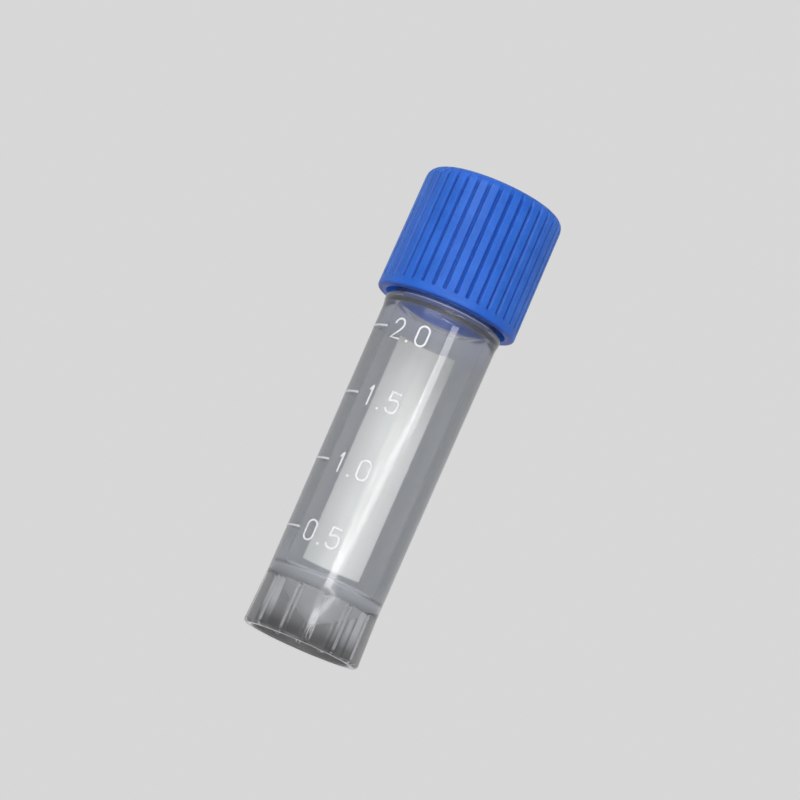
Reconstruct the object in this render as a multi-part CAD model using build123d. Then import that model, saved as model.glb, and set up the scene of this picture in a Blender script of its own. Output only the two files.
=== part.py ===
from build123d import *
from math import atan, degrees, pi, radians, sin, tan
import os

# A two millilitre self-standing cryovial with an outside thread, in millimetres.
# It stands upright on its foot: the origin is the middle of the foot, and +Z runs up the axis.
# -Y is the side that the scale is read from.

# vial: heights above the surface that it stands on
shoulder_height = 34.80      # top of the body, just under the cap
neck_length = 11.00          # from the shoulder to the sealing rim
flare_height = 5.40          # the foot flares out below this

# vial: diameters, steps and walls
body_top_diameter = 11.77
body_draft = 0.2742          # degrees, so that the body leaves its mould
body_wall = 1.06
foot_flare = 0.17            # how far the foot stands out from the body
neck_setback = 0.385         # from the top of the body to the root of the thread
neck_wall = 0.92
collar_height = 0.55         # thicker ring at the top of the body
collar_step = 0.13
collar_rise = 0.65           # the body swells to the collar over this height

# vial: floor and the hollow foot under it
skirt_depth = 5.30           # hollow of the foot, at its wall
skirt_wall = 0.92
floor_slope = 32.0           # degrees, of the conical floor
floor_thickness = 1.30       # measured along the axis
tip_diameter = 0.90          # the cone ends in a small blunt tip
foot_rib_count = 12
foot_rib_width = 0.45
foot_rib_depth = 0.60
foot_rib_setback = 0.32      # the ribs stop this far above the foot's rim
foot_rib_turn = 4.0          # degrees

# screw thread, single start and right-handed
thread_lead = 3.00
thread_root = 1.30           # width of the ridge where it leaves the wall
thread_crest = 0.70
thread_depth = 0.55
thread_start = 3.00          # height of its lower end above the shoulder
thread_end_sides = 8         # both ends of a ridge are blunt, as half an octagon
vial_thread_turns = 1.50
cap_thread_turns = 1.25

# cap
cap_gap = 0.30               # the rim of the closed cap stands this far above the shoulder
cap_wall = 0.94              # at the rim
cap_draft = 0.355            # degrees
cap_top_wall = 1.17
crown_round = 1.05           # rounded edge of the top, as two arcs with a narrow flat between
crown_flat = 0.02
cap_rim_bevel = 0.30
cap_band = 0.85              # plain band below the grip
groove_count = 38
groove_width = 0.46
groove_depth = 0.20          # half way up the cap
groove_flank = 38.0          # degrees, slope of the groove's sides
groove_turn = 5.5            # degrees

# seal, a silicone disc in the top of the cap
seal_overhang = 0.30         # the disc reaches this far past the neck
seal_thickness = 1.00
seal_lip = 0.12              # how far the cap's bead reaches under the seal

# clearances
thread_clearance = 0.20      # radial, crest of each ridge to the other wall
flank_clearance = 0.12       # along the axis, between the flanks that carry the cap
seal_clearance = 0.10        # radial, seal to the recess in the cap
seal_play = 0.03             # along the axis, seal to the top of its recess

# print, a thin layer of ink on the body
ink = 0.05
patch_foot_gap = 2.50        # above the top of the flared foot
patch_shoulder_gap = 2.40    # below the shoulder
patch_width = 7.60           # measured round the body
patch_turn = 3.4             # degrees from the back of the vial
mark_volume = 500.0          # cubic millimetres from one mark to the next
mark_shoulder_gap = 3.61     # from the shoulder down to the top mark
mark_count = 4
mark_thickness = 0.20
mark_length = 3.60           # measured round the body
mark_turn = -70.0            # degrees from the front of the vial

# small edges
foot_bevel = 0.22
overlap = 0.20               # how far one form is set into another before they are fused
steepest_draft = 0.10        # a wall that leans by less than this share of its height is drafted

# radii and heights that follow from the sizes above
collar_bottom = shoulder_height - collar_height
swell_bottom = collar_bottom - collar_rise
rim_height = shoulder_height + neck_length
body_top_r = body_top_diameter / 2
body_low_r = body_top_r - (swell_bottom - flare_height) * tan(radians(body_draft))
collar_r = body_top_r + collar_step
neck_r = body_top_r - neck_setback
foot_r = body_low_r + foot_flare
skirt_r = foot_r - skirt_wall
bore_low_r = body_low_r - body_wall
bore_top_r = body_top_r - body_wall
neck_bore_r = neck_r - neck_wall
floor_rise = tan(radians(floor_slope))
tip_r = tip_diameter / 2
tip_height = skirt_depth - (skirt_r - tip_r) * floor_rise
bore_tip_height = tip_height + floor_thickness

seal_r = neck_r + seal_overhang
recess_r = seal_r + seal_clearance
cap_bore_r = neck_r + thread_depth + thread_clearance
cap_ceiling = rim_height + seal_thickness + seal_play
cap_top = cap_ceiling + cap_top_wall
cap_rim = shoulder_height + cap_gap
cap_rim_r = cap_bore_r + cap_wall
cap_top_r = cap_rim_r - (cap_top - cap_rim) * tan(radians(cap_draft))
mark_spacing = mark_volume / (pi * ((bore_low_r + bore_top_r) / 2) ** 2)
mark_top = shoulder_height - mark_shoulder_gap


def body_radius(height):
    """Outside radius at a height, of the tapered body or of the flared foot below it."""
    if height < flare_height:
        return body_low_r + foot_flare * (flare_height - height) / (flare_height - foot_bevel)
    taper = (body_top_r - body_low_r) / (swell_bottom - flare_height)
    return body_low_r + taper * (height - flare_height)


def turned(corners, arc=360):
    """Solid of revolution from corners given as (radius, height, rounding)."""
    points = [(radius, height) for radius, height, rounding in corners]
    rounds = [rounding for radius, height, rounding in corners]
    sides = FilletPolyline(*points, radius=rounds, close=True).edges()
    outline = make_face([drafted(side) for side in sides])
    return revolve(Plane.XZ * outline, Axis.Z, arc)


def drafted(side):
    """The side itself, or one with a slight draft as a curve, which turns into a lighter mesh."""
    span = side @ 1 - side @ 0
    slight = 0 < abs(span.X) < steepest_draft * abs(span.Y)
    return Bezier(side @ 0, side @ 1) if slight and side.geom_type == GeomType.LINE else side


def thread(wall_r, bottom, turns, outward):
    """Helical ridge on a wall, with blunt ends; outward is 1 on a neck and -1 in a bore."""
    root_r = wall_r - outward * overlap
    crest_r = wall_r + outward * thread_depth
    flank = (thread_root - thread_crest) / 2 / thread_depth
    foot = thread_root / 2 + flank * overlap
    tip = thread_crest / 2
    half_side = 180 / thread_end_sides
    section = Plane.XZ * make_face(
        Polyline((root_r, -foot), (crest_r, -tip), (crest_r, tip), (root_r, foot), close=True)
    )
    path = Helix(thread_lead, thread_lead * turns, wall_r)
    ridge = sweep(section, path=path, is_frenet=True)
    for end in (0, turns):
        facing = Plane(
            origin=(root_r, 0, thread_lead * end),
            x_dir=(0, 1, 0),
            z_dir=(outward, 0, 0),
        )
        base = facing * RegularPolygon(foot, thread_end_sides, major_radius=False, rotation=half_side)
        boss = extrude(base, thread_depth + overlap, taper=degrees(atan(flank)))
        ridge += Rot(0, 0, 360 * end) * boss
    return Pos(0, 0, bottom) * ridge


def vial_shell():
    """Foot, body, shoulder and neck as one turned wall, closed by the conical floor."""
    bore_floor = bore_tip_height + (bore_low_r - tip_r) * floor_rise
    neck_blend = bore_top_r - neck_bore_r
    return turned([
        (0, tip_height, 0),
        (tip_r, tip_height, 0),
        (skirt_r, skirt_depth, 0),
        (skirt_r, 0, 0),
        (foot_r - foot_bevel, 0, 0),
        (foot_r, foot_bevel, 0),
        (body_low_r, flare_height, 0),
        (body_top_r, swell_bottom, 0),
        (collar_r, collar_bottom, 0),
        (collar_r, shoulder_height, 0),
        (neck_r, shoulder_height, 0),
        (neck_r, rim_height, 0),
        (neck_bore_r, rim_height, 0),
        (neck_bore_r, collar_bottom + neck_blend, 0),
        (bore_top_r, collar_bottom, 0),
        (bore_low_r, bore_floor, 0),
        (tip_r, bore_tip_height, 0),
        (0, bore_tip_height, 0),
    ])


def blunt_strip(width, length):
    """Outline of an upright strip from the origin, closed below by the lower half of a hexagon."""
    half = width / 2
    drop = half * sin(radians(60))
    return Polyline(
        (half, 0), (half, length), (-half, length), (-half, 0), (-half / 2, -drop), (half / 2, -drop),
        close=True,
    )


def foot_rib():
    """One upright rib inside the foot, set into the wall and the floor."""
    low = foot_rib_setback + foot_rib_width / 2
    strip = make_face(blunt_strip(foot_rib_width, skirt_depth + overlap - low))
    face_r = skirt_r - foot_rib_depth
    front = Plane(origin=(0, -face_r, low), x_dir=(1, 0, 0), z_dir=(0, -1, 0))
    return extrude(front * strip, foot_rib_depth + overlap)


def vial():
    ribs = PolarLocations(0, foot_rib_count, start_angle=foot_rib_turn)
    body = vial_shell()
    body += [place * foot_rib() for place in ribs]
    body += thread(neck_r, shoulder_height + thread_start, vial_thread_turns, 1)
    return body


def cap_shell():
    """Drafted cap with a plain bore, and a beaded recess for the seal under its top."""
    lip_r = seal_r - seal_lip
    lip_height = cap_ceiling - seal_play - seal_thickness
    lip_tip = lip_height - (recess_r - lip_r)
    turn = tan(radians(45 / 2))     # each of the two arcs turns by 45 degrees
    crown_corner = crown_round * (1 - turn)
    crown_arc = crown_round - crown_flat / 2 / turn
    return turned([
        (0, cap_ceiling, 0),
        (recess_r, cap_ceiling, 0),
        (recess_r, lip_height, 0),
        (lip_r, lip_tip, 0),
        (cap_bore_r, lip_tip - (cap_bore_r - lip_r), 0),
        (cap_bore_r, cap_rim, 0),
        (cap_rim_r - cap_rim_bevel, cap_rim, 0),
        (cap_rim_r, cap_rim + cap_rim_bevel, 0),
        (cap_top_r, cap_top - crown_corner, crown_arc),
        (cap_top_r - crown_corner, cap_top, crown_arc),
        (0, cap_top, 0),
    ])


def grip_groove():
    """Upright groove in the side of the cap, with flat sloped sides and a blunt lower end."""
    low = cap_rim + cap_band + groove_width / 2
    side_r = (cap_rim_r + cap_top_r) / 2
    rings = []
    for depth in (-overlap, groove_depth):
        width = groove_width - 2 * depth * tan(radians(groove_flank))
        layer = Plane(origin=(side_r - depth, 0, low), x_dir=(0, -1, 0), z_dir=(-1, 0, 0))
        rings.append(layer * blunt_strip(width, cap_top - cap_rim))
    mouth, floor = rings
    faces = [make_face(mouth), make_face(floor)]
    for upper, lower in zip(mouth.edges(), floor.edges()):
        faces.append(make_face(Polyline(upper @ 0, upper @ 1, lower @ 1, lower @ 0, close=True)))
    return Solid(Shell(faces))


def cap():
    grooves = PolarLocations(0, groove_count, start_angle=groove_turn)
    body = cap_shell()
    body -= [place * grip_groove() for place in grooves]
    flank_gap = (thread_root - thread_crest) / 2 * (1 - thread_clearance / thread_depth)
    drop = thread_crest + flank_gap + flank_clearance
    body += thread(cap_bore_r, shoulder_height + thread_start - drop, cap_thread_turns, -1)
    return body


def seal():
    disc = Cylinder(seal_r, seal_thickness, align=(Align.CENTER, Align.CENTER, Align.MIN))
    return Pos(0, 0, rim_height) * disc


def ink_field(bottom, height, width, turn):
    """Thin field of ink on the tapered body, its middle turned from the front."""
    top = bottom + height
    low_r = body_radius(bottom)
    top_r = body_radius(top)
    arc = degrees(width / body_radius(bottom + height / 2))
    corners = [(low_r, bottom, 0), (low_r + ink, bottom, 0), (top_r + ink, top, 0), (top_r, top, 0)]
    return Rot(0, 0, turn - 90 - arc / 2) * turned(corners, arc)


def writing_patch():
    bottom = flare_height + patch_foot_gap
    top = shoulder_height - patch_shoulder_gap
    return ink_field(bottom, top - bottom, patch_width, 180 + patch_turn)


def graduation_marks():
    marks = []
    for step in range(mark_count):
        bottom = mark_top - step * mark_spacing - mark_thickness / 2
        marks.append(ink_field(bottom, mark_thickness, mark_length, mark_turn))
    return Compound(marks)


os.makedirs("parts", exist_ok=True)
nodes = {
    "vial": vial(),
    "cap": cap(),
    "seal": seal(),
    "writing_patch": writing_patch(),
    "graduation_marks": graduation_marks(),
}
for name, shape in nodes.items():
    export_step(shape, f"parts/{name}.step")
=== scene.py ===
import math

import bmesh
import bpy
from mathutils import Matrix, Quaternion, Vector


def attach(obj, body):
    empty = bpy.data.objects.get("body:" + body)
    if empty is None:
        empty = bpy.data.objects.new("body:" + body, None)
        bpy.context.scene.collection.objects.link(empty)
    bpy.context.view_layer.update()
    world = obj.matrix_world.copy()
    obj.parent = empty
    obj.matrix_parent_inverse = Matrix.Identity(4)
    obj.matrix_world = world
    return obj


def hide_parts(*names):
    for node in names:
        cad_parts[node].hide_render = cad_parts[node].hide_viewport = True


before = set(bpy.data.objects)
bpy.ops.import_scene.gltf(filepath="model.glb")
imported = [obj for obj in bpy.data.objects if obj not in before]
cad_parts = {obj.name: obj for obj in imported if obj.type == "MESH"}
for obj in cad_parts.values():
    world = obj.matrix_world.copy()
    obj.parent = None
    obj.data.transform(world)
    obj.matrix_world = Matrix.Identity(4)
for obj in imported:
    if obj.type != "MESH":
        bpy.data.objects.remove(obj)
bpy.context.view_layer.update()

mm = 0.001              # sizes below are in mm, Blender's own in m
fullTurn = math.tau
weldGap = 0.002         # points closer than this are merged
pickGap = 0.004         # and a point this close to a corner is that corner
cornerSteps = 5         # segments in a rounded corner


def startEdit():
    bpy.ops.object.mode_set(mode="EDIT")
    bpy.ops.mesh.select_mode(type="VERT")
    bpy.ops.mesh.select_all(action="DESELECT")


def endEdit():
    bpy.ops.object.mode_set(mode="OBJECT")


def choose(obj):
    bpy.ops.object.select_all(action="DESELECT")
    obj.select_set(True)
    bpy.context.view_layer.objects.active = obj


def pickAll():
    bpy.ops.mesh.select_all(action="SELECT")


def pickVerts(obj, wanted):
    # wanted gets a vertex's place in mm
    edit = bmesh.from_edit_mesh(obj.data)
    for vert in edit.verts:
        vert.select = wanted(vert.co / mm)
    edit.select_flush_mode()
    bmesh.update_edit_mesh(obj.data)


def pickFaces(obj, wanted):
    # wanted gets a face's normal
    edit = bmesh.from_edit_mesh(obj.data)
    for face in edit.faces:
        face.select = wanted(face.normal)
    edit.select_flush_mode()
    bmesh.update_edit_mesh(obj.data)


def pickEdges(obj, wanted):
    # wanted gets the two ends of an edge in mm
    bpy.ops.mesh.select_all(action="DESELECT")
    edit = bmesh.from_edit_mesh(obj.data)
    for edge in edit.edges:
        edge.select = wanted(edge.verts[0].co / mm, edge.verts[1].co / mm)
    bmesh.update_edit_mesh(obj.data)


def stretchPicked(size, middle=(0, 0, 0)):
    bpy.ops.transform.resize(value=size, center_override=middle)


def shiftPicked(place):
    bpy.ops.transform.translate(value=Vector(place) * mm)


def turnAll(angle):
    # rotate counts clockwise here, so the sign is turned round
    pickAll()
    bpy.ops.transform.rotate(value=-angle, orient_axis="Z", center_override=(0, 0, 0))


def spinAll(steps, angle=fullTurn, copies=False):
    # spin counts clockwise too
    pickAll()
    bpy.ops.mesh.spin(
        steps=steps, angle=-angle, center=(0, 0, 0), axis=(0, 0, 1), dupli=copies,
    )
    pickAll()
    bpy.ops.mesh.remove_doubles(threshold=weldGap * mm)
    bpy.ops.mesh.normals_make_consistent(inside=False)


def drawOutline(name, corners):
    # one point, extruded from corner to corner; a corner is (radius, height, rounding)
    bpy.ops.object.select_all(action="DESELECT")
    bpy.ops.mesh.primitive_plane_add(size=mm, location=(0, 0, 0))
    obj = bpy.context.active_object
    obj.name = name
    startEdit()
    pickAll()
    bpy.ops.mesh.merge(type="CENTER")
    here = Vector((corners[0][0], 0, corners[0][1])) * mm
    bpy.ops.transform.translate(value=here)
    for radius, height, rounding in corners[1:]:
        there = Vector((radius, 0, height)) * mm
        bpy.ops.mesh.extrude_region_move(TRANSFORM_OT_translate={"value": there - here})
        here = there
    for radius, height, rounding in corners:
        if rounding > 0:
            corner = Vector((radius, 0, height))
            pickVerts(obj, lambda place: (place - corner).length < pickGap)
            bpy.ops.mesh.bevel(
                offset=rounding * mm, offset_type="OFFSET",
                segments=cornerSteps, affect="VERTICES",
            )
    return obj


def smooth(obj, degrees):
    choose(obj)
    bpy.ops.object.shade_smooth_by_angle(angle=math.radians(degrees))


def weldOn(obj, other):
    # a boolean union, applied, and the other object is used up
    choose(obj)
    step = obj.modifiers.new("weldOn", "BOOLEAN")
    step.operation = "UNION"
    step.solver = "EXACT"
    step.object = other
    bpy.ops.object.modifier_apply(modifier=step.name)
    choose(other)
    bpy.ops.object.delete()
    choose(obj)


class Wire:
    # a node's output that takes +, -, * and /
    def __init__(self, tree, socket):
        self.tree = tree
        self.socket = socket

    def maths(self, operation, *others):
        return mathsNode(self.tree, operation, self, *others)

    def side(self, name):
        # another output of the same node
        return Wire(self.tree, self.socket.node.outputs[name])

    def clamped(self):
        step = self.maths("ADD", 0.0)
        step.socket.node.use_clamp = True
        return step

    def __add__(self, other): return self.maths("ADD", other)
    def __sub__(self, other): return self.maths("SUBTRACT", other)
    def __mul__(self, other): return self.maths("MULTIPLY", other)
    def __truediv__(self, other): return self.maths("DIVIDE", other)
    def __radd__(self, other): return mathsNode(self.tree, "ADD", other, self)
    def __rsub__(self, other): return mathsNode(self.tree, "SUBTRACT", other, self)
    def __rmul__(self, other): return mathsNode(self.tree, "MULTIPLY", other, self)
    def __rtruediv__(self, other): return mathsNode(self.tree, "DIVIDE", other, self)


def mathsNode(tree, operation, *values):
    node = tree.nodes.new("ShaderNodeMath")
    node.operation = operation
    for slot, value in zip(node.inputs, values):
        plug(tree, value, slot)
    return Wire(tree, node.outputs[0])


def plug(tree, value, slot):
    if isinstance(value, Wire):
        tree.links.new(value.socket, slot)
    elif slot.type == "RGBA" and len(value) == 3:
        slot.default_value = (*value, 1.0)
    else:
        slot.default_value = value


class Look:
    # the node tree of a material or a world
    def __init__(self, owner, outputKind="OutputMaterial"):
        owner.use_nodes = True
        self.owner = owner
        self.tree = owner.node_tree
        self.tree.nodes.clear()
        self.output = self.tree.nodes.new("ShaderNode" + outputKind)

    def node(self, kind, settings=None, out=0, **values):
        # settings first, because some of them change the inputs
        made = self.tree.nodes.new("ShaderNode" + kind)
        for key, value in (settings or {}).items():
            setattr(made, key, value)
        for key, value in values.items():
            slot = next(s for s in made.inputs if s.name.replace(" ", "") == key and s.enabled)
            plug(self.tree, value, slot)
        return Wire(self.tree, made.outputs[out])

    def place(self):
        return self.node("TexCoord", out="Object")

    def axes(self):
        across = self.node("SeparateXYZ", Vector=self.place())
        return across, across.side("Y"), across.side("Z")

    def noise(self, size, detail=2.0, stretch=(1, 1, 1)):
        # size is about one blotch, in mm
        scaled = self.node("Mapping", Vector=self.place(), Scale=stretch)
        return self.node(
            "TexNoise", Vector=scaled, Scale=1 / (size * mm), Detail=detail, Roughness=0.5,
        )

    def ramp(self, value, start, full, low=0.0, high=1.0):
        # from low at start to high at full, flat beyond them
        return self.node(
            "MapRange", {"clamp": True},
            Value=value, FromMin=start, FromMax=full, ToMin=low, ToMax=high,
        )

    def zone(self, value, start, full, low=0.0, high=1.0):
        # the same, between two places given in mm
        return self.ramp(value, start * mm, full * mm, low, high)

    def tint(self, factor, low, high):
        return self.node("Mix", {"data_type": "RGBA"}, out=2, Factor=factor, A=low, B=high)

    def pair(self, shaders, made):
        # shader nodes have two inputs of one name, so these are linked in order
        slots = [slot for slot in made.socket.node.inputs if slot.type == "SHADER"]
        for shader, slot in zip(shaders, slots):
            if shader:
                plug(self.tree, shader, slot)
        return made

    def mix(self, factor, first, second=None):
        return self.pair((first, second), self.node("MixShader", Fac=factor))

    def add(self, first, second):
        return self.pair((first, second), self.node("AddShader"))

    def surface(self, shader):
        plug(self.tree, shader, self.output.inputs["Surface"])
        return self.owner

    def volume(self, shader):
        plug(self.tree, shader, self.output.inputs["Volume"])


def dress(obj, material):
    obj.data.materials.clear()
    obj.data.materials.append(material)


def screenColour(red, green, blue):
    # colours picked as 0 to 255 screen values, made linear
    def one(value):
        value = value / 255
        return value / 12.92 if value <= 0.04045 else ((value + 0.055) / 1.055) ** 2.4
    return (one(red), one(green), one(blue))


cameraSet = {
    "away": 302.6,          # in front of the axis
    "height": -23.4,
    "aimHeight": 24.06,
    "aimUp": 0.314,         # degrees
    "lean": 23.7,           # degrees that the vial leans to the right
    "lens": 142.7,
    "sensor": 36,
    "clip": (0.01, 20),     # m
}

bpy.ops.object.camera_add(location=(0, -cameraSet["away"] * mm, cameraSet["height"] * mm))
camera = bpy.context.active_object
camera.data.lens = cameraSet["lens"]
camera.data.sensor_width = cameraSet["sensor"]
camera.data.clip_start, camera.data.clip_end = cameraSet["clip"]
aim = Vector((0, 0, cameraSet["aimHeight"] * mm)) - camera.location
aimTurn = aim.to_track_quat("-Z", "Y")
aimTurn = aimTurn @ Quaternion((0, 0, 1), math.radians(cameraSet["lean"]))
aimTurn = aimTurn @ Quaternion((1, 0, 0), math.radians(cameraSet["aimUp"]))
camera.rotation_euler = aimTurn.to_euler()
bpy.context.scene.camera = camera
print("camera placed")


threadSet = {
    "lead": 3.0,
    "steps": 144,           # to one turn
    "sunk": 0.2,            # how far the ridge is set into its wall
    "tall": 0.55,
    "rootHalf": 0.76,
    "crestHalf": 0.35,
    "crestRound": 0.1,
    "ends": ((0.16, 0.9), (0.14, 0.75), (0.1, 0.55)),   # (step, shrink) towards the tip
}


def makeRidge(name, wall, bottom, turns, outward):
    # the section is drawn, wound up by the screw modifier, and its ends are tapered
    root = wall - outward * threadSet["sunk"]
    crest = wall + outward * threadSet["tall"]
    rootHalf, crestHalf = threadSet["rootHalf"], threadSet["crestHalf"]
    obj = drawOutline(name, [
        (root, -rootHalf, 0), (crest, -crestHalf, threadSet["crestRound"]),
        (crest, crestHalf, threadSet["crestRound"]), (root, rootHalf, 0),
    ])
    pickAll()
    bpy.ops.mesh.edge_face_add()
    bpy.ops.mesh.delete(type="ONLY_FACE")
    endEdit()
    screw = obj.modifiers.new("screw", "SCREW")
    screw.angle = fullTurn * turns
    screw.screw_offset = threadSet["lead"] * mm * turns
    screw.steps = int(threadSet["steps"] * turns)
    screw.render_steps = screw.steps
    screw.use_smooth_shade = False
    bpy.ops.object.modifier_apply(modifier=screw.name)
    startEdit()
    for end, way in ((0, -1), (turns, 1)):
        angle = fullTurn * end
        level = threadSet["lead"] * end
        spoke = Vector((math.cos(angle), math.sin(angle), 0))
        side = Vector((-math.sin(angle), math.cos(angle), 0))

        def atEnd(place):
            near = abs(place.dot(side)) < 0.01 and abs(place.z - level) < rootHalf + 0.04
            return near and place.dot(spoke) > 0

        pickVerts(obj, atEnd)
        bpy.ops.mesh.edge_face_add()
        anchor = spoke * root * mm + Vector((0, 0, level)) * mm
        for reach, shrink in threadSet["ends"]:
            move = side * way * reach * mm
            bpy.ops.mesh.extrude_region_move(TRANSFORM_OT_translate={"value": move})
            anchor = anchor + move
            stretchPicked((shrink, shrink, shrink), anchor)
    pickAll()
    bpy.ops.mesh.normals_make_consistent(inside=False)
    shiftPicked((0, 0, bottom))
    endEdit()
    return obj


vialSet = {
    "steps": 288,
    "neckRadius": 5.5,
    "threadStart": 37.8,
    "threadTurns": 1.5,
    "ribs": 12,
    "ribTurn": 4.0,                 # degrees
    "ribMiddle": (4.85, 0, 3.0),
    "ribSize": (0.9, 0.45, 5.2),
    "ribEndRound": 0.2,
    "ribEdgeRound": 0.13,
    "smoothAngle": 28,
    # (radius, height, rounding): cone, hollow foot, outer wall, collar, neck, lip and bore
    "outline": [
        (0, 2.457, 0), (0.45, 2.457, 0.12), (5.0, 5.3, 0.35), (5.0, 0.12, 0.08),
        (5.12, 0, 0.05), (5.70, 0, 0.08), (5.92, 0.22, 0.1), (5.75, 5.4, 0.3),
        (5.885, 33.6, 0.3), (6.015, 34.25, 0.15), (6.015, 34.8, 0.14), (5.5, 34.8, 0.18),
        (5.5, 45.68, 0.08), (5.38, 45.8, 0.05), (4.70, 45.8, 0.05), (4.58, 45.68, 0.08),
        (4.58, 34.495, 0.15), (4.825, 34.25, 0.15), (4.69, 6.406, 0.45),
        (0.45, 3.757, 0.12), (0, 3.757, 0),
    ],
}


def makeRibs():
    # one rib, rounded at its foot and its two inner edges, then copied round the hollow foot
    middle = Vector(vialSet["ribMiddle"]) * mm
    bpy.ops.mesh.primitive_cube_add(size=mm, location=middle)
    ribs = bpy.context.active_object
    startEdit()
    pickAll()
    stretchPicked(vialSet["ribSize"], middle)
    pickFaces(ribs, lambda normal: normal.z < -0.9)
    bpy.ops.mesh.bevel(offset=vialSet["ribEndRound"] * mm, segments=4, affect="EDGES")

    def innerUpright(first, second):
        run = second - first
        upright = abs(run.normalized().z) > 0.99
        return upright and run.length > 3 and first.x < vialSet["ribMiddle"][0] - 0.35

    pickEdges(ribs, innerUpright)
    bpy.ops.mesh.bevel(offset=vialSet["ribEdgeRound"] * mm, segments=3, affect="EDGES")
    turnAll(math.radians(vialSet["ribTurn"]))
    spinAll(vialSet["ribs"], copies=True)
    endEdit()
    return ribs


vialPiece = drawOutline("vial_body", vialSet["outline"])
spinAll(vialSet["steps"])
endEdit()
weldOn(vialPiece, makeRibs())
weldOn(vialPiece, makeRidge(
    "neck_ridge", vialSet["neckRadius"], vialSet["threadStart"], vialSet["threadTurns"], 1,
))
smooth(vialPiece, vialSet["smoothAngle"])
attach(vialPiece, "vial")
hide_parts("vial")
print("vial made", len(vialPiece.data.polygons))


capSet = {
    "grooves": 38,
    "columns": 8,               # of faces, to one groove and its rib
    "edgeColumns": (2, 5),      # where a groove starts and ends
    "floorColumns": (3, 4),     # where it is deepest
    "grooveTurn": 5.5,          # degrees
    "grooveDepth": 0.21,
    "grooveFoot": 35.95,
    "footRadius": 0.2,          # a groove ends round at its foot
    "fadeStart": 47.3,          # and fades out over the crown
    "fadeRise": 0.62,
    "gripRadius": 6.6,          # nothing inside this is shaped
    "threadRadius": 6.25,
    "threadStart": 36.789,
    "threadTurns": 1.25,
    "edgeRound": 0.09,
    "edgeAngle": 28,
    "smoothAngle": 30,
    # (radius, height, rounding): top of the inside, seal's recess, bore, rim, grip and crown
    "outline": [
        (0, 46.83, 0), (5.9, 46.83, 0.1), (5.9, 45.80, 0.04), (5.68, 45.58, 0.05),
        (6.25, 45.01, 0.1), (6.25, 35.1, 0.1), (7.185, 35.1, 0.3),
        (7.181, 35.95, 0), (7.181, 35.98, 0), (7.18, 36.03, 0), (7.18, 36.09, 0),
        (7.18, 36.15, 0), (7.11, 48.0, 1.05), (0, 48.0, 0),
    ],
}


def pressGroove(vert, column):
    # moves one point of the grip into the groove
    radius = vert.co.xy.length / mm
    height = vert.co.z / mm
    if radius < capSet["gripRadius"] or height < capSet["grooveFoot"] - 0.001:
        return
    number = round(math.atan2(vert.co.y, vert.co.x) / column, 1)
    lift = (height - capSet["grooveFoot"]) / capSet["footRadius"]
    if number in capSet["edgeColumns"] and lift < 1:
        low = 1 - lift
        narrow = column * 1.5 * (1 - math.sqrt(max(0.03, 1 - low * low)))
        inward = narrow if number == capSet["edgeColumns"][0] else -narrow
        vert.co.rotate(Matrix.Rotation(inward, 3, "Z"))
    if number in capSet["floorColumns"]:
        fade = (height - capSet["fadeStart"]) / capSet["fadeRise"]
        share = min(1.0, max(0.0, lift)) * min(1.0, max(0.0, 1 - fade))
        shrink = 1 - capSet["grooveDepth"] * share / radius
        vert.co.x *= shrink
        vert.co.y *= shrink


def makeCap():
    # one groove's share of the cap, then copied all round
    share = fullTurn / capSet["grooves"]
    column = share / capSet["columns"]
    cap = drawOutline("screw_cap", capSet["outline"])
    spinAll(capSet["columns"], share)
    edit = bmesh.from_edit_mesh(cap.data)
    for vert in edit.verts:
        pressGroove(vert, column)
    bmesh.update_edit_mesh(cap.data)
    grooveMiddle = sum(capSet["floorColumns"]) / 2 * column
    turnAll(math.radians(capSet["grooveTurn"]) - grooveMiddle)
    spinAll(capSet["grooves"], copies=True)
    endEdit()
    return cap


capPiece = makeCap()
weldOn(capPiece, makeRidge(
    "cap_ridge", capSet["threadRadius"], capSet["threadStart"], capSet["threadTurns"], -1,
))
soften = capPiece.modifiers.new("soften", "BEVEL")
soften.width = capSet["edgeRound"] * mm
soften.segments = 3
soften.limit_method = "ANGLE"
soften.angle_limit = math.radians(capSet["edgeAngle"])
choose(capPiece)
bpy.ops.object.modifier_apply(modifier=soften.name)
smooth(capPiece, capSet["smoothAngle"])
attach(capPiece, "cap")
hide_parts("cap")
print("cap made", len(capPiece.data.polygons))


sealSet = {
    "radius": 5.8,
    "bottom": 45.8,
    "top": 46.8,
    "rounding": 0.12,
    "steps": 128,
    "smoothAngle": 40,
    "tints": ((222, 222, 216), (232, 232, 228)),
}

sealPiece = drawOutline("seal_disc", [
    (0, sealSet["bottom"], 0), (sealSet["radius"], sealSet["bottom"], sealSet["rounding"]),
    (sealSet["radius"], sealSet["top"], sealSet["rounding"]), (0, sealSet["top"], 0),
])
spinAll(sealSet["steps"])
endEdit()
smooth(sealPiece, sealSet["smoothAngle"])
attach(sealPiece, "seal")
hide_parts("seal")
print("seal made")


bodySet = {                     # the wall that the ink lies on
    "lowRadius": 5.75,
    "lowHeight": 5.4,
    "growth": 0.135,
    "rise": 28.2,
    "meanRadius": 5.82,
}

scaleSet = {
    "labels": ["0.5", "1.0", "1.5", "2.0"],
    "heights": [10.08, 17.11, 24.14, 31.17],
    "signTurns": [-37.2, -24.0, -11.2],     # degrees from the front, one to each sign
    "digitTall": 2.0,
    "digitWide": 1.06,
    "stroke": 0.2,
    "strokeFlat": 0.3,                      # ink is flatter than it is wide
    "dotRadius": 0.14,
    "dotFlat": 0.21,
    "markTurn": -70.0,
    "markSize": (3.6, 0.06, 0.2),
    "markCuts": 15,
    "lift": 0.01,                           # out of the wall
    "smoothAngle": 40,
}

fieldSet = {
    "low": 7.9,
    "high": 32.4,
    "wide": 7.6,
    "turn": 183.4,                          # degrees from the front
    "sunk": 0.02,
    "proud": 0.04,
    "steps": 60,
    "smoothAngle": 40,
}


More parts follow.
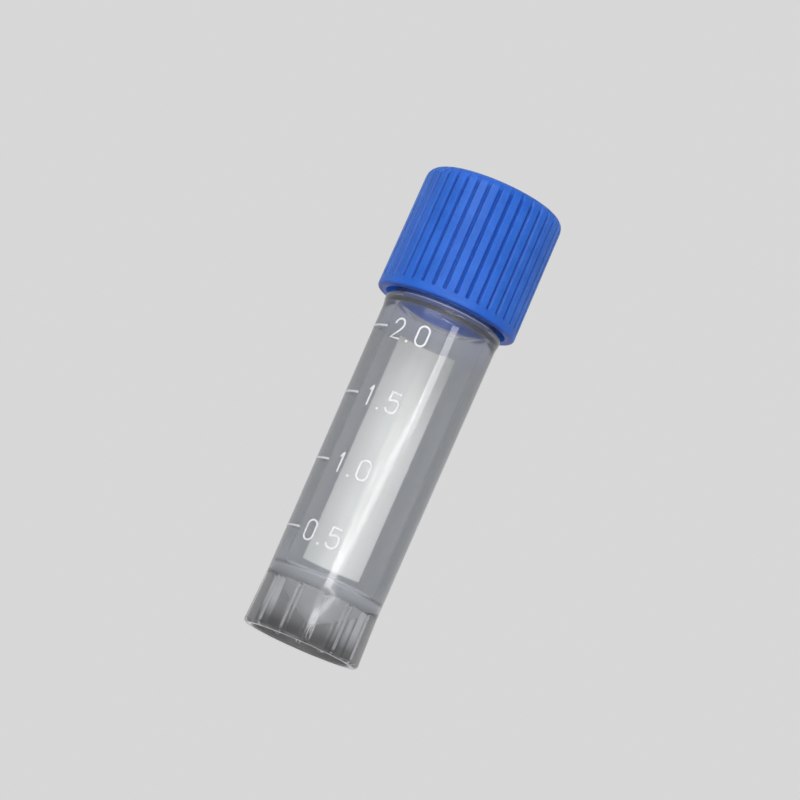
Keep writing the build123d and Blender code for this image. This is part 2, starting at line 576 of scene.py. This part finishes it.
def bodyRadius(height):
    risen = (height - bodySet["lowHeight"]) / bodySet["rise"]
    return bodySet["lowRadius"] + bodySet["growth"] * risen


def wrapRound(obj, turn):
    # from flat in the XZ plane to round the body; turn is from the front, towards +X
    for vert in obj.data.vertices:
        across, depth, height = vert.co / mm
        angle = math.radians(turn - 90) + across / bodySet["meanRadius"]
        radius = bodyRadius(height) - depth
        vert.co = Vector((radius * math.cos(angle), radius * math.sin(angle), height)) * mm


def thicken(path):
    # a wire turned into a thin rod
    choose(path)
    bpy.ops.object.convert(target="CURVE")
    path = bpy.context.active_object
    path.data.bevel_depth = scaleSet["stroke"] / 2 * mm
    path.data.bevel_resolution = 3
    path.data.use_fill_caps = True
    bpy.ops.object.convert(target="MESH")
    return bpy.context.active_object


def drawZero():
    # a circle whose two halves are moved apart
    half = scaleSet["digitWide"] / 2
    bpy.ops.mesh.primitive_circle_add(
        vertices=40, radius=half * mm, location=(0, 0, 0), rotation=(math.pi / 2, 0, 0),
    )
    ring = bpy.context.active_object
    bpy.ops.object.transform_apply(location=False, rotation=True, scale=False)
    startEdit()
    for way in (1, -1):
        pickVerts(ring, lambda place: place.z * way > 0.01)
        shiftPicked((0, 0, way * (scaleSet["digitTall"] / 2 - half)))
    endEdit()
    return thicken(ring)


def drawDot():
    bpy.ops.mesh.primitive_uv_sphere_add(
        segments=24, ring_count=12, radius=scaleSet["dotRadius"] * mm, location=(0, 0, 0),
    )
    return bpy.context.active_object


def drawDigit(sign):
    # a path of (across, height, rounding)
    w = scaleSet["digitWide"] / 2
    h = scaleSet["digitTall"] / 2
    paths = {
        "1": [(-w * 0.35, h * 0.52, 0), (w * 0.2, h, 0.05), (w * 0.2, -h, 0)],
        "2": [
            (-w, h * 0.42, 0), (-w, h, w), (w * 0.92, h, w), (w * 0.92, h * 0.12, 0.5),
            (-w, -h, 0), (w, -h, 0),
        ],
        "5": [
            (w * 0.9, h, 0), (-w * 0.85, h, 0.05), (-w * 0.95, h * 0.1, 0.1),
            (-w * 0.3, h * 0.3, 0.3), (w, h * 0.3, w * 0.95), (w, -h, w),
            (-w, -h, w * 0.8), (-w, -h * 0.6, 0),
        ],
    }
    path = drawOutline("stroke", paths[sign])
    endEdit()
    return thicken(path)


def layOn(piece, size, height, turn, cuts=0):
    # flattened, lifted to its height and wrapped round the body
    choose(piece)
    startEdit()
    pickAll()
    stretchPicked(size)
    if cuts:
        bpy.ops.mesh.subdivide(number_cuts=cuts)
    shiftPicked((0, -scaleSet["lift"], height))
    endEdit()
    wrapRound(piece, turn)
    return piece


def makeScale():
    pieces = []
    for label, height in zip(scaleSet["labels"], scaleSet["heights"]):
        for sign, turn in zip(label, scaleSet["signTurns"]):
            if sign == ".":
                foot = height - scaleSet["digitTall"] / 2
                pieces.append(layOn(drawDot(), (1, scaleSet["dotFlat"], 1), foot, turn))
            else:
                made = drawZero() if sign == "0" else drawDigit(sign)
                pieces.append(layOn(made, (1, scaleSet["strokeFlat"], 1), height, turn))
        bpy.ops.mesh.primitive_cube_add(size=mm, location=(0, 0, 0))
        mark = bpy.context.active_object
        layOn(mark, scaleSet["markSize"], height, scaleSet["markTurn"], scaleSet["markCuts"])
        pieces.append(mark)
    choose(pieces[0])
    for piece in pieces:
        piece.select_set(True)
    bpy.ops.object.join()
    scale = bpy.context.active_object
    scale.name = "scale_print"
    return scale


scalePiece = makeScale()
smooth(scalePiece, scaleSet["smoothAngle"])
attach(scalePiece, "vial")
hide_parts("graduation_marks")

fieldHalf = fieldSet["wide"] / 2 / bodySet["meanRadius"]    # radians
lowWall = bodyRadius(fieldSet["low"])
highWall = bodyRadius(fieldSet["high"])
fieldPiece = drawOutline("writing_field", [
    (lowWall - fieldSet["sunk"], fieldSet["low"], 0),
    (lowWall + fieldSet["proud"], fieldSet["low"], 0),
    (highWall + fieldSet["proud"], fieldSet["high"], 0),
    (highWall - fieldSet["sunk"], fieldSet["high"], 0),
])
pickAll()
bpy.ops.mesh.edge_face_add()
turnAll(math.radians(fieldSet["turn"] - 90) - fieldHalf)
spinAll(fieldSet["steps"], fieldHalf * 2)
endEdit()
smooth(fieldPiece, fieldSet["smoothAngle"])
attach(fieldPiece, "vial")
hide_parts("writing_patch")
print("print made")


clearSet = {
    # the grey tints of the body and foot are painted shade, and the neck's blue is a painted
    # reflection of the cap
    "bodyTint": (0.44, 0.46, 0.49),
    "neckTint": (0.42, 0.46, 0.6),
    "footTint": (0.3, 0.303, 0.306),
    "rimTint": (0.07, 0.07, 0.067),         # painted shade in the hollow of the foot, near its rim
    "hazeColour": (0.82, 0.83, 0.85),
    "depthColour": (0.85, 0.853, 0.86),
    "depthDensity": 1000.0,
    "neckThin": 0.35,                       # the share of the painted shade tint left on the neck
    "roughness": (0.06, 0.1),
    "mattBore": 0.13,                       # added under the writing field
    "frost": 0.8,                           # haze on the conical floor
    # the haze on the rib edges is a painted highlight
    "ribFrost": 0.6,
    "collarMilk": 0.05,
    "plainHaze": 0.03,
    "coneSlope": 0.6249,
    "bumpStrength": 0.04,
    # radius or height in mm, from where a zone starts to where it is full
    "outerWall": (5.35, 5.4),
    "neckFade": (37.5, 31.0),
    "neckColour": (30.5, 33.5),
    "footTop": (5.7, 5.2),
    "hollowWall": (5.25, 5.2),
    "hollowRim": (2.8, 1.0),
    "boreWall": (4.95, 4.9),
    "fieldLow": (7.7, 7.8),
    "fieldHigh": (32.35, 32.25),
    "coneUp": (1.98, 2.08),
    "coneTop": (6.6, 6.3),
    "coneWall": (5.0, 4.95),
    "ribSide": (0.1, 0.16),
    "ribWall": (4.96, 4.9),
    "ribTop": (5.4, 5.2),
    "ribFoot": (0.45, 0.75),
    "collarLow": (33.6, 34.1),
    "collarHigh": (35.1, 34.9),
}


def clearPlastic():
    look = Look(bpy.data.materials.new("clear_polypropylene"))
    grain = look.noise(0.35, 3)
    waves = look.noise(3.0, 2, (1, 1, 0.35))
    x, y, z = look.axes()
    radius = (x * x + y * y).maths("SQRT")

    def zone(value, name, low=0.0, high=1.0):
        return look.zone(value, *clearSet[name], low, high)

    # only the outer wall is tinted: a grey tint that is painted shade for the dark surroundings
    # seen through the clear plastic, darker in the foot as more painted shade, and less of it up
    # the neck
    outer = zone(radius, "outerWall") * zone(z, "neckFade", clearSet["neckThin"], 1.0)
    # up the neck the tint turns blue, a painted reflection of the blue cap
    colour = look.tint(zone(z, "neckColour"), clearSet["bodyTint"], clearSet["neckTint"])
    colour = look.tint(zone(z, "footTop"), colour, clearSet["footTint"])
    colour = look.tint(outer, (1, 1, 1), colour)
    # the inside of the foot near its rim gets a painted shade, nearly black
    hollow = zone(radius, "hollowWall") * zone(z, "hollowRim")
    colour = look.tint(hollow, colour, clearSet["rimTint"])

    # the bore wall under the writing field is matt
    away = math.radians(fieldSet["turn"] - 90)
    facing = (x * math.cos(away) + y * math.sin(away)) / radius
    behind = look.ramp(facing, 0.737, 0.745) * zone(radius, "boreWall")
    behind = behind * zone(z, "fieldLow") * zone(z, "fieldHigh")

    # the conical floor is frosted, and the edges of the ribs in the foot get the same white haze as
    # a painted highlight
    cone = z - radius * clearSet["coneSlope"]
    onCone = zone(cone, "coneUp") * zone(z, "coneTop") * zone(radius, "coneWall")
    ribStep = fullTurn / vialSet["ribs"]
    share = (y.maths("ARCTAN2", x) - math.radians(vialSet["ribTurn"])) / ribStep
    share = (share + 0.5).maths("FRACT") - 0.5
    offset = share.maths("ABSOLUTE") * radius * ribStep
    ribEdge = zone(offset, "ribSide") * zone(radius, "ribWall")
    ribEdge = ribEdge * zone(z, "ribTop") * zone(z, "ribFoot")
    collar = zone(z, "collarLow") * zone(z, "collarHigh")
    hazy = (onCone * clearSet["frost"]).maths("MAXIMUM", ribEdge * clearSet["ribFrost"])
    hazy = hazy.maths("MAXIMUM", collar * clearSet["collarMilk"]) + clearSet["plainHaze"]

    bump = look.node(
        "Bump", Strength=clearSet["bumpStrength"], Distance=0.05 * mm,
        Height=(waves * 0.8 + grain * 0.2) * (1 - behind * 0.9),
    )
    roughness = look.ramp(grain, 0.35, 0.65, *clearSet["roughness"])
    clear = look.node(
        "BsdfPrincipled", BaseColor=colour, Roughness=roughness + behind * clearSet["mattBore"],
        IOR=1.49, TransmissionWeight=1.0, Normal=bump,
    )
    haze = look.mix(
        0.5, look.node("BsdfDiffuse", Color=clearSet["hazeColour"], Roughness=0.0),
        look.node("BsdfTranslucent", Color=clearSet["hazeColour"]),
    )
    # lamps shine straight through
    through = look.node("BsdfTransparent", Color=(1, 1, 1))
    shadow = look.node("LightPath", out="Is Shadow Ray")
    depth = look.node(
        "VolumeAbsorption", Color=clearSet["depthColour"], Density=clearSet["depthDensity"],
    )
    look.volume(look.mix(shadow, depth))
    return look.surface(look.mix(shadow, look.mix(hazy, clear, haze), through))


blueSet = {
    "darkBlue": (30, 90, 180),
    "lightBlue": (42, 100, 193),
    # the groove colour below is painted shade
    "grooveBlue": (8, 56, 150),
    "grooveShade": 0.8,
    "roughness": (0.36, 0.5),
    "specular": 0.25,
    "glowWeight": 0.6,
    "glowDepth": 2.0,
    "glowRadius": (0.2, 0.5, 1.0),
    "bumpStrength": 0.25,
    "gripRadius": 7.19,         # at the rim, and its draft above that
    "gripFoot": 35.1,
    "gripDraft": 0.0062,
    "grooveDeep": (0.02, 0.2),
    "outerWall": (6.5, 6.55),
    "belowCrown": (47.2, 46.9),
}


def bluePlastic():
    look = Look(bpy.data.materials.new("blue_polypropylene"))
    fine = look.noise(0.18, 3)
    broad = look.noise(2.5, 2)
    x, y, z = look.axes()
    radius = (x * x + y * y).maths("SQRT")
    grip = blueSet["gripRadius"] * mm - blueSet["gripDraft"] * (z - blueSet["gripFoot"] * mm)
    # the grooves get a darker blue, a painted shade in the recesses
    sunk = look.zone(grip - radius, *blueSet["grooveDeep"])
    sunk = sunk * look.zone(radius, *blueSet["outerWall"])
    sunk = sunk * look.zone(z, *blueSet["belowCrown"]) * blueSet["grooveShade"]
    colour = look.tint(
        look.ramp(broad + fine * 0.5, 0.55, 0.95),
        screenColour(*blueSet["darkBlue"]), screenColour(*blueSet["lightBlue"]),
    )
    colour = look.tint(sunk, colour, screenColour(*blueSet["grooveBlue"]))
    return look.surface(look.node(
        "BsdfPrincipled", BaseColor=colour, IOR=1.49,
        Roughness=look.ramp(fine, 0.3, 0.7, *blueSet["roughness"]),
        SpecularIORLevel=blueSet["specular"], SubsurfaceWeight=blueSet["glowWeight"],
        SubsurfaceRadius=blueSet["glowRadius"], SubsurfaceScale=blueSet["glowDepth"] * mm,
        Normal=look.node("Bump", Strength=blueSet["bumpStrength"], Distance=0.02 * mm, Height=fine),
    ))


inkSet = {
    "scaleTints": ((0.73, 0.74, 0.76), (0.8, 0.81, 0.83)),
    "scaleCover": (0.68, 0.9),              # the figures are printed thin, and a little worn
    "fieldTints": ((0.94, 0.93, 0.88), (0.97, 0.96, 0.91)),
    "roughness": (0.5, 0.7),
    "ragSize": 0.25,
    "ragReach": 0.22,
    "ragMiddle": 0.55,
}


def printedInk(name, tints, cover):
    # cover gets the look, and gives how much of the wall the ink hides
    look = Look(bpy.data.materials.new(name))
    fine = look.noise(0.12, 3)
    return look.surface(look.node(
        "BsdfPrincipled", BaseColor=look.tint(look.ramp(fine, 0.3, 0.7), *tints),
        Roughness=look.ramp(fine, 0.3, 0.7, *inkSet["roughness"]), Alpha=cover(look),
    ))


def thinCover(look):
    return look.ramp(look.noise(0.4, 3), 0.3, 0.7, *inkSet["scaleCover"])


def raggedCover(look):
    # whole inside the field, and slightly ragged at its edges
    x, y, z = look.axes()
    away = math.radians(fieldSet["turn"] - 90)
    ahead = x * math.cos(away) + y * math.sin(away)
    across = (y * math.cos(away) - x * math.sin(away)).maths("ARCTAN2", ahead)
    inward = (fieldHalf - across.maths("ABSOLUTE")) * bodySet["meanRadius"] * mm
    inward = inward.maths("MINIMUM", z - fieldSet["low"] * mm)
    inward = inward.maths("MINIMUM", fieldSet["high"] * mm - z)
    ragged = look.noise(inkSet["ragSize"], 3, (1, 1, 0.5)) - inkSet["ragMiddle"]
    return look.zone(inward - ragged * inkSet["ragReach"] * mm, 0.0, 0.02)


def silicone():
    look = Look(bpy.data.materials.new("silicone"))
    fine = look.noise(0.3, 3)
    low, high = (screenColour(*tint) for tint in sealSet["tints"])
    return look.surface(look.node(
        "BsdfPrincipled", BaseColor=look.tint(look.ramp(fine, 0.3, 0.7), low, high),
        Roughness=look.ramp(fine, 0.3, 0.7, 0.45, 0.6),
    ))


dress(vialPiece, clearPlastic())
dress(capPiece, bluePlastic())
dress(sealPiece, silicone())
dress(scalePiece, printedInk("white_ink", inkSet["scaleTints"], thinCover))
dress(fieldPiece, printedInk("white_ink_field", inkSet["fieldTints"], raggedCover))
print("materials made")


stageSet = {
    "floorSize": 6,                     # m
    "floorDrop": 0.05,
    "floorColour": (0.75, 0.75, 0.75),
    "floorLift": 0.24,                  # brightens the floor where it is seen
    "backdrop": (0.68, 0.68, 0.68),
    "ambient": (0.95, 0.97, 1.0),
    "ambientStrength": 0.34,
    "aimHeight": 24,
}

# azimuth in degrees from the front, towards +X; height, distance and size in m; power in W
lampSet = {
    "key": {"azimuth": -28, "height": 0.58, "distance": 0.85, "size": (0.6, 0.36), "power": 4.5},
    "fill": {"azimuth": 8, "height": -0.10, "distance": 0.8, "size": (0.7, 0.2), "power": 3.8},
    "back": {
        "azimuth": 205, "height": 0.50, "distance": 0.9, "size": (0.6, 0.4), "power": 3.2,
        "mirrored": False,
    },
    # four low ones make the long streak down the front of the tube
    "streakHigh": {
        "azimuth": 28, "height": 0.158, "distance": 0.8, "size": (0.19, 0.06), "power": 0.24,
    },
    "streakLow": {
        "azimuth": 17, "height": 0.112, "distance": 0.8, "size": (0.22, 0.03), "power": 0.11,
        "tilt": 9.5,
    },
    "streakFoot": {
        "azimuth": 3, "height": 0.074, "distance": 0.8, "size": (0.18, 0.04), "power": 0.2,
    },
    "glow": {
        "azimuth": 6, "height": 0.111, "distance": 0.8, "size": (0.42, 0.08), "power": 0.14,
        "colour": (1.0, 0.94, 0.85), "shape": "ELLIPSE",
    },
}


def seenRays(look):
    # 1 for what the camera sees, straight or in gloss or glass
    rays = look.node("LightPath", out="Is Camera Ray")
    return (rays + rays.side("Is Glossy Ray") + rays.side("Is Transmission Ray")).clamped()


def paleFloor():
    look = Look(bpy.data.materials.new("floor_pale"))
    ground = look.node("BsdfDiffuse", Color=stageSet["floorColour"], Roughness=0.0)
    lift = seenRays(look) * stageSet["floorLift"]
    lit = look.add(ground, look.node("Emission", Color=(1, 1, 1), Strength=lift))
    # light from below passes the floor, and it can't be seen from below
    shadow = look.node("LightPath", out="Is Shadow Ray")
    under = look.node("NewGeometry", out="Backfacing").maths("MAXIMUM", shadow)
    return look.surface(look.mix(under, lit, look.node("BsdfTransparent", Color=(1, 1, 1))))


def paleWorld():
    look = Look(bpy.data.worlds.new("studio"), "OutputWorld")
    backdrop = look.node("Background", Color=stageSet["backdrop"])
    ambient = look.node(
        "Background", Color=stageSet["ambient"], Strength=stageSet["ambientStrength"],
    )
    return look.surface(look.mix(seenRays(look), ambient, backdrop))


def areaLight(name, azimuth, height, distance, size, power,
              colour=(1, 1, 1), tilt=0.0, shape="RECTANGLE", mirrored=True):
    # every lamp looks at the middle of the vial
    around = math.radians(azimuth)
    place = Vector((math.sin(around) * distance, -math.cos(around) * distance, height))
    bpy.ops.object.light_add(type="AREA", location=place)
    lamp = bpy.context.active_object
    lamp.name = name
    lamp.data.shape = shape
    lamp.data.size, lamp.data.size_y = size
    lamp.data.energy = power
    lamp.data.color = colour
    aim = Vector((0, 0, stageSet["aimHeight"] * mm)) - place
    turn = aim.to_track_quat("-Z", "Y") @ Quaternion((0, 0, 1), math.radians(tilt))
    lamp.rotation_euler = turn.to_euler()
    lamp.visible_glossy = mirrored
    lamp.visible_transmission = mirrored


bpy.ops.mesh.primitive_plane_add(
    size=stageSet["floorSize"], location=(0, 0, -stageSet["floorDrop"] * mm),
)
floor = bpy.context.active_object
floor.name = "studio_floor"
dress(floor, paleFloor())
bpy.context.scene.world = paleWorld()
bpy.context.scene.view_settings.view_transform = "Standard"
for lampName, lampValues in lampSet.items():
    areaLight(lampName, **lampValues)
print("stage and lights made")
